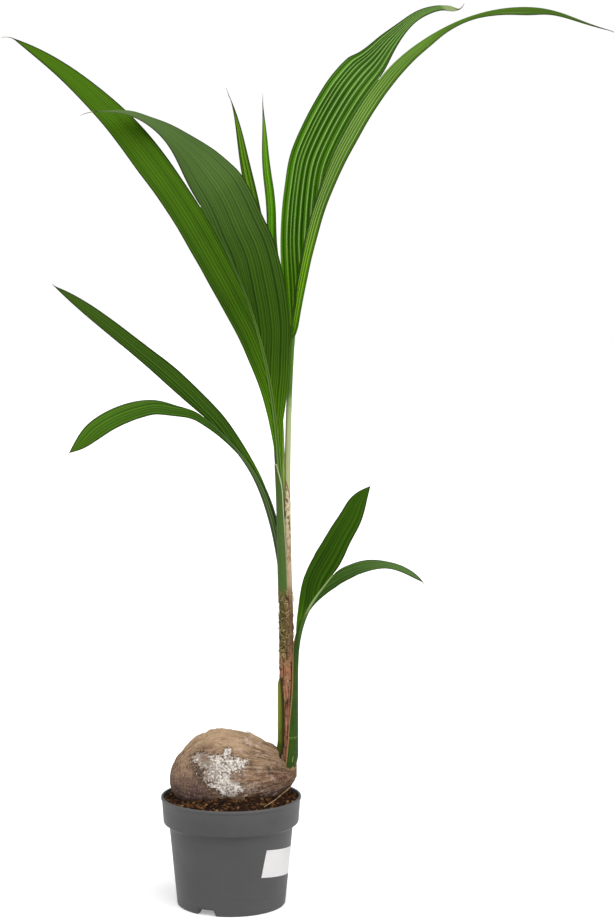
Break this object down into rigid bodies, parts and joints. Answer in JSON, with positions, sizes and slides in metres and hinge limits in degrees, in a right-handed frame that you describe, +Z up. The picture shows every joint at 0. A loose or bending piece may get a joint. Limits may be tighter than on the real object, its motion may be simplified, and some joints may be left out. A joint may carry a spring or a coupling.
{
  "type": "potted coconut palm seedling",
  "caption": "Young coconut palm in a round nursery pot: a sprouted nut half sunk in soil, a slim fibrous stem and long pleated leaves that fork at the tip.",
  "frame": {"origin": "centre of the pot's flat underside, on the floor", "axes": "+Z up along the pot's axis, +X to the right in the picture towards the shoot, +Y away from the camera"},
  "size_m": [0.7897, 0.312, 1.2245],
  "materials": {
    "pot_plastic": "matte dark grey moulded plastic",
    "potting_soil": "moist crumbly peat with bark chips",
    "husk": "dry fibrous husk with a pale mouldy patch",
    "stem_fibre": "dry brown leaf-base fibre",
    "green_stalk": "smooth green stalk",
    "leaf": "glossy pleated green leaf"
  },
  "bodies": {
    "root": {"leaf_low_right_lower_base": "leaf", "leaf_low_right_lower_mid": "leaf", "leaf_low_right_lower_tip": "leaf", "leaf_low_right_stalk": "green_stalk", "leaf_low_right_upper_base": "leaf", "leaf_low_right_upper_tip": "leaf", "leaf_mid_left_lower_base": "leaf", "leaf_mid_left_lower_mid": "leaf", "leaf_mid_left_lower_tip": "leaf", "leaf_mid_left_stalk": "green_stalk", "leaf_mid_left_upper_base": "leaf", "leaf_mid_left_upper_tip": "leaf", "leaf_top_left_lower_base": "leaf", "leaf_top_left_lower_tip": "leaf", "leaf_top_left_stalk": "green_stalk", "leaf_top_left_upper_base": "leaf", "leaf_top_left_upper_mid": "leaf", "leaf_top_left_upper_tip": "leaf", "leaf_top_right_lower_base": "leaf", "leaf_top_right_lower_mid": "leaf", "leaf_top_right_lower_tip": "leaf", "leaf_top_right_stalk": "green_stalk", "leaf_top_right_upper_base": "leaf", "leaf_top_right_upper_tip": "leaf", "nut": "husk", "pot": "pot_plastic", "sheath": "green_stalk", "soil": "potting_soil", "spear_left": "leaf", "spear_right": "leaf", "spear_stalk": "green_stalk", "stem": "stem_fibre"}
  },
  "joints": []
}
